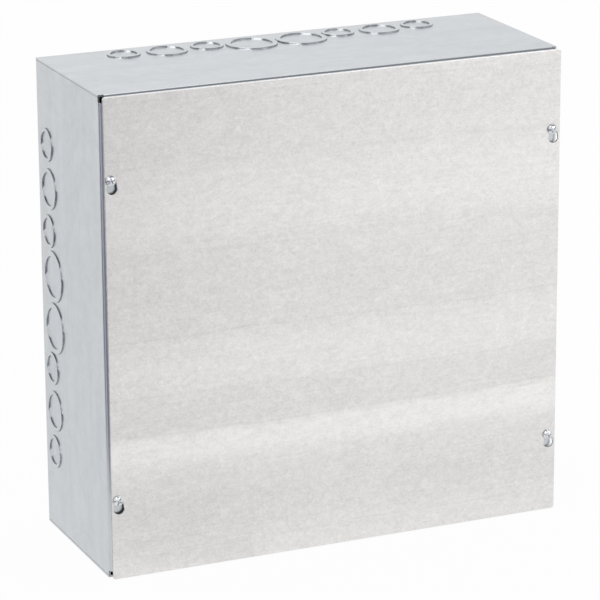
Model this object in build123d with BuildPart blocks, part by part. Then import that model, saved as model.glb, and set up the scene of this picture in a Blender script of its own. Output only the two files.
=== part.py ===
from build123d import *
import math
import os

# Galvanised sheet-steel pull box, 16 x 16 x 6 in, with a flat cover held by four screws.
# Millimetres. X runs left to right, the cover faces -Y, Z is up.
# The origin is at the bottom centre of everything, screw heads and raised knockouts included.

# Body: one sheet folded into a back, four walls and four front flanges
body_width = 406.4
body_height = 406.4
body_depth = 152.4
sheet = 1.6
bend_inside = 2.4
flange_width = 19.0
relief_width = 4.6
relief_height = 6.0
seam_gap = 0.3
mitre_gap = 0.7

# Knockouts: each is a ring pressed outward around a flat disc, and both are pipe trade sizes
half_inch_hole = 22.2
three_quarter_hole = 28.2
one_inch_hole = 34.9
inch_and_quarter_hole = 44.0
knockout_rise = 1.2
knockout_back_margin = 10.0
middle_gap = 1.2
large_gap = 1.2
small_gap = 5.4

# Holes in the back for hanging the box on a wall, measured in from the back's edges
back_hole_margin = 25.4
back_hole_diameter = 7.9

# Cover: a flat plate that hangs on its loose screws, clear of the flanges and a little to the right
cover_sheet = 1.6
cover_gap = 2.0
cover_side_gap = 0.3
cover_top_gap = 0.6
cover_bottom_gap = 0.3
cover_corner_radius = 2.0
cover_shift = 1.0
hanging_drop = 0.5
keyhole_drop = 7.3

# Cover screws: pan heads with a slot across a cross recess
screw_inset = 6.6
screw_end_margin = 68.4
shank_diameter = 4.2
shank_length = 12.7
head_diameter = 8.7
head_height = 3.0
head_rim = 1.1
slot_width = 1.2
slot_depth = 1.6
cross_length = 5.2
cross_depth = 2.3
tip_chamfer = 0.8
collar_wall = 1.4
collar_length = 2.6

# Clearances
head_clearance = 0.3
head_pass_clearance = 0.3
hanging_clearance = 0.2
thread_clearance = 0.05

bend_outside = bend_inside + sheet
shank_radius = shank_diameter / 2
front_reach = cover_gap + cover_sheet + head_clearance + head_height
front_y = -(body_depth - front_reach) / 2
back_y = front_y + body_depth
bottom_z = knockout_rise
top_z = bottom_z + body_height
middle_z = (bottom_z + top_z) / 2
half_width = body_width / 2
half_height = body_height / 2
cover_back_y = front_y - cover_gap
cover_front_y = cover_back_y - cover_sheet
head_seat_y = cover_front_y - head_clearance
keyhole_radius = head_diameter / 2 + head_pass_clearance
keyhole_slot_radius = shank_radius + math.hypot(cover_shift, hanging_drop) + hanging_clearance

screw_places = {
    "cover_screw_top_left": (-1, 1, 20.0),
    "cover_screw_top_right": (1, 1, -35.0),
    "cover_screw_bottom_left": (-1, -1, 65.0),
    "cover_screw_bottom_right": (1, -1, 5.0),
}
screw_centres = [
    (side * (half_width - screw_inset), middle_z + level * (half_height - screw_end_margin))
    for side, level, turn in screw_places.values()
]

# Half a row of knockouts, from the middle of a wall outward: outer size, disc size, gap before it
half_row = (
    (inch_and_quarter_hole, one_inch_hole, middle_gap / 2),
    (three_quarter_hole, half_inch_hole, large_gap),
    (one_inch_hole, three_quarter_hole, small_gap),
    (three_quarter_hole, half_inch_hole, small_gap),
)


def knockout_row():
    """Centres of one wall's knockouts along the wall and from its back, with both radii."""
    places = []
    reach = 0.0
    for outer, inner, gap in half_row:
        along = reach + gap + outer / 2
        reach = along + outer / 2
        for side in (-1, 1):
            places.append((side * along, knockout_back_margin + outer / 2, outer / 2, inner / 2))
    return places


# Each wall's plane lies on its outer face with local x along the wall and local y towards the front
wall_planes = (
    Plane(origin=(0, back_y, top_z), x_dir=(-1, 0, 0), z_dir=(0, 0, 1)),
    Plane(origin=(0, back_y, bottom_z), x_dir=(1, 0, 0), z_dir=(0, 0, -1)),
    Plane(origin=(-half_width, back_y, middle_z), x_dir=(0, 0, -1), z_dir=(-1, 0, 0)),
    Plane(origin=(half_width, back_y, middle_z), x_dir=(0, 0, 1), z_dir=(1, 0, 0)),
)
back_plane = Plane.XZ.offset(-back_y)
front_plane = Plane.XZ.offset(-front_y)

# The hollow inside the folded sheet
with BuildPart() as hollow:
    with BuildSketch(back_plane.offset(sheet)):
        with Locations((0, middle_z)):
            Rectangle(body_width - 2 * sheet, body_height - 2 * sheet)
    extrude(amount=body_depth - 2 * sheet)
    hollow_ends = hollow.faces().sort_by(Axis.Y)
    fillet(hollow_ends[0].edges() + hollow_ends[-1].edges(), radius=bend_inside)

with BuildPart() as box_body:
    with BuildSketch(back_plane):
        with Locations((0, middle_z)):
            Rectangle(body_width, body_height)
    extrude(amount=body_depth)
    body_ends = box_body.faces().sort_by(Axis.Y)
    fillet(body_ends[0].edges() + body_ends[-1].edges(), radius=bend_outside)
    add(hollow.part, mode=Mode.SUBTRACT)

    # Tapped collars drawn inward from the flanges
    with BuildSketch(front_plane.offset(-sheet / 2)):
        with Locations(*screw_centres):
            Circle(shank_radius + collar_wall)
    extrude(amount=-(sheet / 2 + collar_length))
    with BuildSketch(front_plane):
        with Locations(*screw_centres):
            Circle(shank_radius + thread_clearance)
    extrude(amount=-(sheet + collar_length), mode=Mode.SUBTRACT)

    # The opening between the flanges
    with BuildSketch(front_plane):
        with Locations((0, middle_z)):
            Rectangle(body_width - 2 * flange_width, body_height - 2 * flange_width)
    extrude(amount=-sheet, mode=Mode.SUBTRACT)

    # Corner reliefs, where the blank was notched so that neighbouring flanges can fold
    with BuildSketch(front_plane):
        with Locations((0, middle_z)):
            with GridLocations(body_width - relief_width, body_height - relief_height, 2, 2):
                Rectangle(relief_width, relief_height)
    extrude(amount=-bend_outside, mode=Mode.SUBTRACT)

    # Mitres between neighbouring flanges, from each relief to the opening's corner
    mitre_run = math.hypot(flange_width - relief_width, flange_width - relief_height)
    mitre_length = mitre_run + 4 * mitre_gap
    mitre_x = half_width - (flange_width + relief_width) / 2
    mitre_z = half_height - (flange_width + relief_height) / 2
    mitre_turn = math.degrees(math.atan2(flange_width - relief_height, flange_width - relief_width))
    with BuildSketch(front_plane):
        for side in (-1, 1):
            for level in (-1, 1):
                with Locations((side * mitre_x, middle_z + level * mitre_z)):
                    Rectangle(mitre_length, mitre_gap, rotation=side * level * mitre_turn)
    extrude(amount=-sheet, mode=Mode.SUBTRACT)

    # Seams where the left and right walls butt against the top and bottom walls
    seam_x = half_width - sheet / 2
    seam_z = half_height - sheet - seam_gap / 2
    with BuildSketch(front_plane):
        for side in (-1, 1):
            for level in (-1, 1):
                with Locations((side * seam_x, middle_z + level * seam_z)):
                    Rectangle(sheet, seam_gap)
    extrude(amount=-(body_depth - bend_outside), mode=Mode.SUBTRACT)

    # Knockout rings, pressed out of each wall by part of its thickness and sheared at both edges
    for wall_plane in wall_planes:
        for face_plane, ring_mode in (
            (wall_plane, Mode.ADD),
            (wall_plane.offset(-sheet), Mode.SUBTRACT),
        ):
            with BuildSketch(face_plane):
                for along, from_back, outer_radius, inner_radius in knockout_row():
                    with Locations((along, from_back)):
                        Circle(outer_radius)
                        Circle(inner_radius, mode=Mode.SUBTRACT)
            extrude(amount=knockout_rise, mode=ring_mode)

    # Mounting holes in the back
    back_hole_columns = body_width - 2 * back_hole_margin
    back_hole_rows = body_height - 2 * back_hole_margin
    with BuildSketch(back_plane):
        with Locations((0, middle_z)):
            with GridLocations(back_hole_columns, back_hole_rows, 2, 2):
                Circle(back_hole_diameter / 2)
    extrude(amount=sheet, mode=Mode.SUBTRACT)
box_body.part.label = "box_body"

# Cover with four teardrop keyholes, narrow end up around the screws
cover_width = body_width - 2 * cover_side_gap
cover_height = body_height - cover_top_gap - cover_bottom_gap
cover_middle_z = bottom_z + cover_bottom_gap + cover_height / 2
with BuildPart() as cover:
    with BuildSketch(Plane.XZ.offset(-cover_back_y)) as cover_outline:
        with Locations((cover_shift, cover_middle_z)):
            RectangleRounded(cover_width, cover_height, cover_corner_radius)
        for x, z in screw_centres:
            with BuildSketch(Plane.XZ.offset(-cover_back_y), mode=Mode.PRIVATE) as keyhole:
                with Locations((x + cover_shift, z - hanging_drop)):
                    Circle(keyhole_slot_radius)
                with Locations((x + cover_shift, z - keyhole_drop)):
                    Circle(keyhole_radius)
                make_hull()
            add(keyhole.sketch, mode=Mode.SUBTRACT)
    extrude(amount=cover_sheet)
cover.part.label = "cover"


def screw(x, z, turn):
    """One cover screw with its head's underside a clearance in front of the cover."""
    with BuildPart() as piece:
        with BuildSketch(Plane.XY.offset(z)):
            with BuildLine():
                tip_y = head_seat_y + shank_length
                head_radius = head_diameter / 2
                rim_y = head_seat_y - head_rim
                start = (x, head_seat_y - head_height)
                rim = (x + head_radius, rim_y)
                TangentArc(start, rim, tangent=(1, 0))
                Polyline(
                    rim,
                    (x + head_radius, head_seat_y),
                    (x + shank_radius, head_seat_y),
                    (x + shank_radius, tip_y - tip_chamfer),
                    (x + shank_radius - tip_chamfer, tip_y),
                    (x, tip_y),
                    start,
                )
            make_face()
        revolve(axis=Axis((x, 0, z), (0, 1, 0)))
        with BuildSketch(Plane.XZ.offset(head_height - head_seat_y)):
            with Locations((x, z)):
                Rectangle(head_diameter, slot_width, rotation=turn)
        extrude(amount=-slot_depth, mode=Mode.SUBTRACT)
        with BuildSketch(Plane.XZ.offset(head_height - head_seat_y)):
            with Locations((x, z)):
                Rectangle(cross_length, slot_width, rotation=turn)
                Rectangle(cross_length, slot_width, rotation=turn + 90)
        extrude(amount=-cross_depth, mode=Mode.SUBTRACT)
    return piece.part


os.makedirs("parts", exist_ok=True)
export_step(box_body.part, "parts/box_body.step")
export_step(cover.part, "parts/cover.step")
for (name, (side, level, turn)), (x, z) in zip(screw_places.items(), screw_centres):
    cover_screw = screw(x, z, turn)
    cover_screw.label = name
    export_step(cover_screw, f"parts/{name}.step")

round_hole_play = keyhole_radius - shank_radius - hanging_clearance
cover_lift = keyhole_drop + math.sqrt(round_hole_play**2 - cover_shift**2)
screw_travel = shank_length - (front_y - head_seat_y) - tip_chamfer
print("flanges at y", round(front_y, 3), "back at y", round(back_y, 3), "top at z", round(top_z, 3))
print("cover lifts", round(cover_lift, 3), "and each screw backs out", round(screw_travel, 3))
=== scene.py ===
import logging
import math
from dataclasses import dataclass, field
from enum import Enum
from typing import Any, Callable, Sequence

import bmesh
import bpy
from bpy.types import GeometryNodeTree, Material, Mesh, Node, NodeSocket, NodeTree, Object
from mathutils import Matrix, Vector
from mathutils.geometry import delaunay_2d_cdt


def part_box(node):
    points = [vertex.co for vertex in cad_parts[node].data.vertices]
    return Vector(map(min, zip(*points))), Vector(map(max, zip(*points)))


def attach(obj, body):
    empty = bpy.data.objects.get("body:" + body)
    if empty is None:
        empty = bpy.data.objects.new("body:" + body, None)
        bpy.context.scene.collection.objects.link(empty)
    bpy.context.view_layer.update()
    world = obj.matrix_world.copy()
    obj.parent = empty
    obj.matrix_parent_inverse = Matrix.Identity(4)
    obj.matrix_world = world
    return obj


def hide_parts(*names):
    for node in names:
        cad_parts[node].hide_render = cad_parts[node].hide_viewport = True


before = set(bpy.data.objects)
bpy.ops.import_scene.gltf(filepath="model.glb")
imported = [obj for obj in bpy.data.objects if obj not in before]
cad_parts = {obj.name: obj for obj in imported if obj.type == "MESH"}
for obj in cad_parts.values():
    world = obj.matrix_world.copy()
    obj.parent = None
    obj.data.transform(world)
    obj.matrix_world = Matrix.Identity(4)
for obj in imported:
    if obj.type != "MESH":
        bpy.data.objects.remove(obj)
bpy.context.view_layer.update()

# A galvanised sheet-steel pull box with knockouts and a screwed cover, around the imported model.
# Sizes are in millimetres and are turned to metres when a mesh is made.
# X runs left to right, the cover faces -Y, Z is up.

MM = 0.001
FORWARD = Vector((0.0, -1.0, 0.0))
SMOOTH_BELOW = math.radians(28.0)
SHEARED = "sheared"

# Points of a sheet that agree to a 5000th of a millimetre are one, and so are corners of a flat
# outline within FLAT_WELD. A turned corner nearer than ON_AXIS to the axis is a single point.
KEYS_PER_MM = 5000
FLAT_WELD = 1e-5
ON_AXIS = 1e-6

# The value that every pattern swings about
MIDDLE = 0.5

log = logging.getLogger("pull_box")

Point = Sequence[float]
Pair = tuple[Vector, Vector]
Inputs = dict[str | int, Any]


def srgb(code: str) -> tuple[float, float, float, float]:
    """Turns an sRGB hex colour to the linear colour that a shader takes.

    Args:
        code: Six hex digits, with or without a leading hash.

    Returns:
        Red, green, blue and alpha.
    """
    channels = [int(code.lstrip("#")[i : i + 2], 16) / 255 for i in (0, 2, 4)]
    linear = [c / 12.92 if c <= 0.04045 else ((c + 0.055) / 1.055) ** 2.4 for c in channels]
    return (linear[0], linear[1], linear[2], 1.0)


def set_inputs(tree: NodeTree, node: Node, inputs: Inputs) -> None:
    """Sets or links a node's inputs.

    Args:
        tree: The shader or geometry tree.
        node: The node.
        inputs: By name or number: a value, another node's output, or a node for its first output.
    """
    for key, value in inputs.items():
        if isinstance(value, Node):
            value = value.outputs[0]
        if isinstance(value, NodeSocket):
            tree.links.new(value, node.inputs[key])
        else:
            node.inputs[key].default_value = value


def add_node(
    tree: NodeTree, kind: str, inputs: Inputs | None = None, **settings: Any
) -> Node:
    """Adds a node.

    Args:
        tree: The shader or geometry tree.
        kind: The node's type name.
        inputs: What its inputs are set or linked to.
        **settings: Properties of the node itself.

    Returns:
        The new node.
    """
    node = tree.nodes.new(kind)
    for key, value in settings.items():
        setattr(node, key, value)
    set_inputs(tree, node, inputs or {})
    return node


def calculate(tree: NodeTree, operation: str, *values: Any) -> NodeSocket:
    """Adds a sum of numbers or other nodes' outputs."""
    return add_node(tree, "ShaderNodeMath", dict(enumerate(values)), operation=operation).outputs[0]


def relief(tree: NodeTree, height: Any, strength: float, depth: float) -> Node:
    """Adds the fine relief that a pattern gives a surface, with its depth in millimetres."""
    return add_node(
        tree, "ShaderNodeBump", {"Height": height, "Strength": strength, "Distance": depth * MM}
    )


def stored(tree: NodeTree, kind: str, name: str) -> NodeSocket:
    """Adds the value that a mesh keeps under a name."""
    node = add_node(tree, "GeometryNodeInputNamedAttribute", {"Name": name}, data_type=kind)
    return node.outputs["Attribute"]


def paint(tree: NodeTree, piece: Any, finish: Any, chosen: Any = True) -> Node:
    """Adds the material of a piece, or of its chosen faces."""
    inputs = {"Geometry": piece, "Selection": chosen, "Material": finish}
    return add_node(tree, "GeometryNodeSetMaterial", inputs)


def new_tree(name: str, inputs: dict[str, str], output: str) -> tuple[GeometryNodeTree, Any]:
    """Starts a geometry tree.

    Args:
        name: The tree's name.
        inputs: The name and the kind of each input.
        output: The name of the geometry that comes out.

    Returns:
        The tree, and the sockets of its inputs by name.
    """
    tree = bpy.data.node_groups.new(name, "GeometryNodeTree")
    for label, kind in inputs.items():
        tree.interface.new_socket(label, in_out="INPUT", socket_type="NodeSocket" + kind)
    tree.interface.new_socket(output, in_out="OUTPUT", socket_type="NodeSocketGeometry")
    return tree, add_node(tree, "NodeGroupInput").outputs


def bare_material(name: str) -> Material:
    """Makes a material with an empty tree.

    Args:
        name: The material's name.

    Returns:
        The material.
    """
    material = bpy.data.materials.new(name)
    material.use_nodes = True
    material.node_tree.nodes.clear()
    return material


def to_metres(points: Sequence[Point]) -> list[tuple[float, float, float]]:
    """Turns points from millimetres to metres."""
    return [(p[0] * MM, p[1] * MM, p[2] * MM) for p in points]


def shade(mesh: Mesh) -> None:
    """Shades a mesh smooth, with its edges sharp where its faces meet at more than a soft bend.

    Args:
        mesh: The mesh to shade.
    """
    mesh.polygons.foreach_set("use_smooth", [True] * len(mesh.polygons))
    mesh.set_sharp_from_angle(angle=SMOOTH_BELOW)
    mesh.update()


def new_object(name: str, mesh: Mesh) -> Object:
    """Links a new object at the origin.

    Args:
        name: The object's name.
        mesh: Its mesh, already in its place.

    Returns:
        The new object.
    """
    piece = bpy.data.objects.new(name, mesh)
    bpy.context.scene.collection.objects.link(piece)
    return piece


def store(mesh: Mesh, name: str, kind: str, domain: str, values: Sequence[Any]) -> None:
    """Keeps one value for each point or face of a mesh, under a name."""
    key = "vector" if kind == "FLOAT_VECTOR" else "value"
    mesh.attributes.new(name, kind, domain).data.foreach_set(key, values)


def circle(centre: Point, radius: float, steps: int) -> list[tuple[float, float]]:
    """Points of a circle, anticlockwise.

    Args:
        centre: The middle, as two numbers.
        radius: The radius.
        steps: How many points.

    Returns:
        The points.
    """
    turns = [2 * math.pi * i / steps for i in range(steps)]
    return [(centre[0] + radius * math.cos(a), centre[1] + radius * math.sin(a)) for a in turns]


def within(point: Point, loop: Sequence[Point]) -> bool:
    """Whether a point lies within a closed outline.

    Args:
        point: The point, as two numbers.
        loop: The outline's corners in order.

    Returns:
        True for a point within the outline.
    """
    inside = False
    x, y = point[0], point[1]
    for (ax, ay), (bx, by) in zip(loop, [*loop[1:], loop[0]]):
        if (ay > y) != (by > y) and x < (bx - ax) * (y - ay) / (by - ay) + ax:
            inside = not inside
    return inside


def fill_outline(loop: Sequence[Point], holes: Sequence[Sequence[Point]]) -> list[list[int]]:
    """Fills a flat outline with triangles, leaving its holes open.

    Args:
        loop: The outline.
        holes: Outlines of the holes.

    Returns:
        Each triangle's corners, numbered along the outline and then along the holes.
    """
    corners: list[Vector] = []
    edges: list[tuple[int, int]] = []
    for outline in (loop, *holes):
        start, count = len(corners), len(outline)
        corners += [Vector(point) for point in outline]
        edges += [(start + i, start + (i + 1) % count) for i in range(count)]
    found = delaunay_2d_cdt(corners, edges, [], 0, FLAT_WELD)
    filled = []
    for triangle in found[2]:
        middle = sum((found[0][i] for i in triangle), Vector((0, 0))) / 3
        if within(middle, loop) and not any(within(middle, hole) for hole in holes):
            filled.append([found[3][i][0] for i in triangle])
    return filled


@dataclass(frozen=True)
class RollBand:
    """How dull or bright the rolls left the sheet at one distance from its top.

    Attributes:
        middle: The distance, in millimetres.
        tone: How much brighter it is there than on average, or darker where negative.
    """

    middle: float
    tone: float


@dataclass(frozen=True)
class RollLine:
    """A thin line that a scratched roll draws right across the sheet.

    Attributes:
        middle: Distance of the line from the sheet's top, in millimetres.
        tone: How much brighter it is than the sheet, or darker where negative.
        width: Its width, in millimetres.
    """

    middle: float
    tone: float
    width: float


@dataclass(frozen=True)
class Layer:
    """One layer of the zinc's pattern: a noise whose features have a real size.

    Attributes:
        size: Size of the features along X, Y and Z, in millimetres.
        strength: How much of the colour range it covers.
        detail: How many finer layers it has.
        twist: How much it is distorted.
    """

    size: tuple[float, float, float]
    strength: float
    detail: float = 2.0
    twist: float = 0.0


@dataclass(frozen=True)
class Metal:
    """A metal whose pattern runs between a darker and a lighter tone.

    Attributes:
        name: The material's name.
        dark: Its darker tone.
        light: Its lighter tone.
        roughness: Its middle roughness.
        spread: How far from the pattern's middle it reaches each tone.
    """

    name: str
    dark: str
    light: str
    roughness: float = 0.36
    spread: float = 0.15

    def surface(self, tree: NodeTree, place: NodeSocket) -> tuple[NodeSocket, Inputs]:
        """Adds the metal's own pattern.

        Args:
            tree: The shader tree.
            place: The Object coordinates.

        Returns:
            The pattern, around 0.5, and the shader's inputs that follow it.
        """
        raise NotImplementedError

    def clouded(self, tree: NodeTree, place: NodeSocket, size: float, **inputs: float) -> NodeSocket:
        """Adds clouds of a size in millimetres, with three finer layers on them."""
        inputs |= {"Vector": place, "Scale": 1 / (size * MM), "Detail": 3.0}
        return add_node(tree, "ShaderNodeTexNoise", inputs).outputs[0]

    def build(self) -> Material:
        """Makes the material.

        Returns:
            The material, with its pattern on Object coordinates.
        """
        material = bpy.data.materials.new(self.name)
        material.use_nodes = True
        tree = material.node_tree
        place = add_node(tree, "ShaderNodeTexCoord").outputs["Object"]
        pattern, inputs = self.surface(tree, place)
        colours = add_node(tree, "ShaderNodeValToRGB", {"Fac": pattern})
        dull, bright = colours.color_ramp.elements
        dull.position = MIDDLE - self.spread
        dull.color = srgb(self.dark)
        bright.position = MIDDLE + self.spread
        bright.color = srgb(self.light)
        inputs |= {"Metallic": 1.0, "Base Color": colours}
        set_inputs(tree, tree.nodes["Principled BSDF"], inputs)
        return material


@dataclass(frozen=True)
class Galvanised(Metal):
    """Hot-dip galvanised sheet: satin zinc, mottled by its flat crystals and banded by the rolls.

    Attributes:
        shine: How much smoother the brightest crystals are than the dullest.
        layers: The crystals, the rolled grain and the clouds.
        top: Height of the sheet's upper edge, in millimetres.
        bands: Roll bands, from the top down, each blending into the next.
        lines: Roll lines, from the top down.
        wander: How far bands and lines stray from level, in millimetres.
        wander_scale: How often they stray, per metre.
    """

    spread: float = 0.3
    shine: float = 0.2
    layers: tuple[Layer, ...] = ()
    top: float = 407.0
    bands: tuple[RollBand, ...] = ()
    lines: tuple[RollLine, ...] = ()
    wander: float = 2.5
    wander_scale: float = 9.0

    def rolled(
        self,
        tree: NodeTree,
        below_top: NodeSocket,
        stops: Sequence[tuple[float, float]],
    ) -> NodeSocket:
        """Adds tones that change only with the distance from the sheet's top.

        Args:
            tree: The shader tree.
            below_top: That distance, as a share of the sheet's height.
            stops: Distances in millimetres with their tones.

        Returns:
            The tone.
        """
        ramp = add_node(tree, "ShaderNodeValToRGB", {"Fac": below_top})
        marks = ramp.color_ramp.elements
        marks.remove(marks[1])
        marks[0].color = (MIDDLE, MIDDLE, MIDDLE, 1.0)
        for distance, tone in stops:
            mark = marks.new(min(1.0, max(0.0, distance / self.top)))
            mark.color = (MIDDLE + tone, MIDDLE + tone, MIDDLE + tone, 1.0)
        return calculate(tree, "SUBTRACT", ramp, MIDDLE)

    def surface(self, tree: NodeTree, place: NodeSocket) -> tuple[NodeSocket, Inputs]:
        """Adds the pattern of crystals, grain, clouds, bands and lines.

        Args:
            tree: The shader tree.
            place: The Object coordinates.

        Returns:
            The pattern, around 0.5, and the shader's inputs that follow it.
        """
        total: NodeSocket | float = MIDDLE
        for layer in self.layers:
            stretch = tuple(1 / (length * MM) for length in layer.size)
            scaled = add_node(tree, "ShaderNodeMapping", {"Vector": place, "Scale": stretch})
            inputs = {"Vector": scaled, "Scale": 1.0, "Detail": layer.detail, "Distortion": layer.twist}
            noise = add_node(tree, "ShaderNodeTexNoise", inputs)
            centred = calculate(tree, "SUBTRACT", noise, MIDDLE)
            total = calculate(tree, "MULTIPLY_ADD", centred, layer.strength, total)
        height = add_node(tree, "ShaderNodeSeparateXYZ", {0: place}).outputs["Z"]
        down = calculate(tree, "MULTIPLY_ADD", height, -1 / (self.top * MM), 1.0)
        stray = add_node(tree, "ShaderNodeTexNoise", {"Vector": place, "Scale": self.wander_scale})
        centred = calculate(tree, "SUBTRACT", stray, MIDDLE)
        down = calculate(tree, "MULTIPLY_ADD", centred, 4 * self.wander / self.top, down)
        tones = [(band.middle, band.tone) for band in self.bands]
        lines = [
            (line.middle + side * line.width / 2, tone)
            for line in self.lines
            for side, tone in ((-1, 0.0), (0, line.tone), (1, 0.0))
        ]
        for stops in (tones, lines):
            if stops:
                total = calculate(tree, "ADD", total, self.rolled(tree, down, stops))
        satin = calculate(tree, "MULTIPLY_ADD", total, -self.shine, self.roughness + self.shine / 2)
        return total, {"Roughness": satin, "Normal": relief(tree, total, strength=0.3, depth=0.15)}


@dataclass(frozen=True)
class ShearedSteel(Metal):
    """Bare steel where the blank was cut or pressed through: dull and torn, and darker than the zinc,
    partly as bare steel and partly as painted shade in the narrow cuts round the knockouts and along the
    cover's edges.

    Attributes:
        tear: Length of the torn and the burnished stretches along a cut, in millimetres.
    """

    name: str = "sheared_steel_edge"
    # The dark tone is partly bare steel and partly painted shade for the narrow cuts.
    dark: str = "#8A8E92"
    light: str = "#C2C5C8"
    roughness: float = 0.5
    tear: float = 5.0

    def surface(self, tree: NodeTree, place: NodeSocket) -> tuple[NodeSocket, Inputs]:
        """Adds torn streaks; the roughness is the same all along the cut."""
        streaks = self.clouded(tree, place, self.tear, Roughness=0.7)
        torn = relief(tree, streaks, strength=0.4, depth=0.1)
        return streaks, {"Roughness": self.roughness, "Normal": torn}


@dataclass(frozen=True)
class ZincPlate(Metal):
    """Bright zinc plate on cold-headed steel: near mirror, with a fine cloudy passivated film.

    Attributes:
        cloud: Size of the film's clouds, in millimetres.
        haze: How much rougher it is where the film is thick than in the middle.
    """

    name: str = "bright_zinc_plate"
    dark: str = "#C4C7CB"
    light: str = "#E4E6E8"
    roughness: float = 0.2
    cloud: float = 1.6
    haze: float = 0.06

    def surface(self, tree: NodeTree, place: NodeSocket) -> tuple[NodeSocket, Inputs]:
        """Adds the film's clouds.

        Args:
            tree: The shader tree.
            place: The Object coordinates.

        Returns:
            The pattern, around 0.5, and the shader's inputs that follow it.
        """
        film = self.clouded(tree, place, self.cloud)
        ends = {"From Min": 0.3, "From Max": 0.7}
        ends |= {"To Min": self.roughness + self.haze, "To Max": self.roughness - self.haze}
        return film, {"Roughness": add_node(tree, "ShaderNodeMapRange", {"Value": film, **ends})}


class SheetSkin:
    """Faces of bent sheet, kept as pairs of points: one on its outer skin, one on its inner skin.

    Corners in open_rims are where a knockout is welded in, and an edge whose corners are in coated
    was cut before the sheet was galvanised.
    """

    def __init__(self) -> None:
        """Starts an empty sheet."""
        self.index: dict[tuple[int, ...], int] = {}
        self.outer: list[Vector] = []
        self.inner: list[Vector] = []
        self.faces: list[tuple[int, ...]] = []
        self.sheared: list[bool] = []
        self.open_rims: set[int] = set()
        self.coated: set[int] = set()

    def corner(self, pair: Pair) -> int:
        """Finds or adds a pair of points.

        Args:
            pair: The outer and inner point, in millimetres.

        Returns:
            The pair's number.
        """
        key = tuple(round(c * KEYS_PER_MM) for point in pair for c in point)
        if key not in self.index:
            self.index[key] = len(self.outer)
            self.outer.append(pair[0])
            self.inner.append(pair[1])
        return self.index[key]

    def face(self, pairs: Sequence[Pair], sheared: bool = False) -> None:
        """Adds a face, anticlockwise seen from outside.

        Args:
            pairs: The face's corners.
            sheared: Whether the face is a cut edge.
        """
        numbers = [self.corner(pair) for pair in pairs]
        kept = [n for i, n in enumerate(numbers) if n != numbers[i - 1]]
        if len(kept) > 2:
            self.faces.append(tuple(kept))
            self.sheared.append(sheared)

    def strip(self, first: Sequence[Pair], second: Sequence[Pair], sheared: bool = False) -> None:
        """Adds a row of faces between two rows of corners.

        Args:
            first: The corners of one row.
            second: The same number of corners, further along the sheet.
            sheared: Whether the faces are a cut edge.
        """
        for a, b, c, d in zip(first, first[1:], second[1:], second):
            self.face((a, b, c, d), sheared)

    def fill(self, loop: Sequence[Point], holes: Sequence[Sequence[Point]], place: Callable) -> None:
        """Fills a flat outline, leaving its holes open.

        Args:
            loop: The outline, anticlockwise seen from outside.
            holes: Outlines of the holes.
            place: Gives the pair of points for a point of the outline.
        """
        points = [Vector(point) for outline in (loop, *holes) for point in outline]
        for triangle in fill_outline(loop, holes):
            self.face([place(*points[i]) for i in triangle])

    def mesh(self, name: str, closed: bool) -> Mesh:
        """Makes the mesh of both skins.

        Args:
            name: The mesh's name.
            closed: Whether free edges get the cut face between the skins.

        Returns:
            The mesh, with a face attribute that marks cut faces.
        """
        count = len(self.outer)
        faces = list(self.faces)
        marks = list(self.sheared)
        faces += [tuple(count + i for i in reversed(f)) for f in self.faces]
        marks += self.sheared
        if closed:
            used = {(a, b) for f in self.faces for a, b in zip(f, [*f[1:], f[0]])}
            free = [(a, b) for a, b in sorted(used) if (b, a) not in used]
            free = [edge for edge in free if not self.open_rims.issuperset(edge)]
            faces += [(b, a, count + a, count + b) for a, b in free]
            marks += [not self.coated.issuperset(edge) for edge in free]
        mesh = bpy.data.meshes.new(name)
        mesh.from_pydata(to_metres([*self.outer, *self.inner]), [], faces)
        store(mesh, SHEARED, "BOOLEAN", "FACE", marks)
        return mesh


@dataclass(frozen=True)
class Wall:
    """One folded wall of the body, with its own directions.

    Attributes:
        origin: The middle of its back edge, on its outer face, in millimetres.
        along: Direction along the wall.
        outward: Direction out of the box.
        half: Half the body's size along the wall.
        inset: How far the wall's ends stay from the body's corners.
        relief_along: Size of the corner relief along the wall.
        relief_across: Size of the corner relief across the front flange.
        lean: How far its knockouts' bridges are turned from front and back, in radians.
    """

    origin: Vector
    along: Vector
    outward: Vector
    half: float
    inset: float
    relief_along: float
    relief_across: float
    lean: float

    def point(self, along: float, forward: float, depth: float) -> Vector:
        """The place at a distance along, forward of the back and in from the wall's face."""
        return self.origin + self.along * along + FORWARD * forward - self.outward * depth


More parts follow.
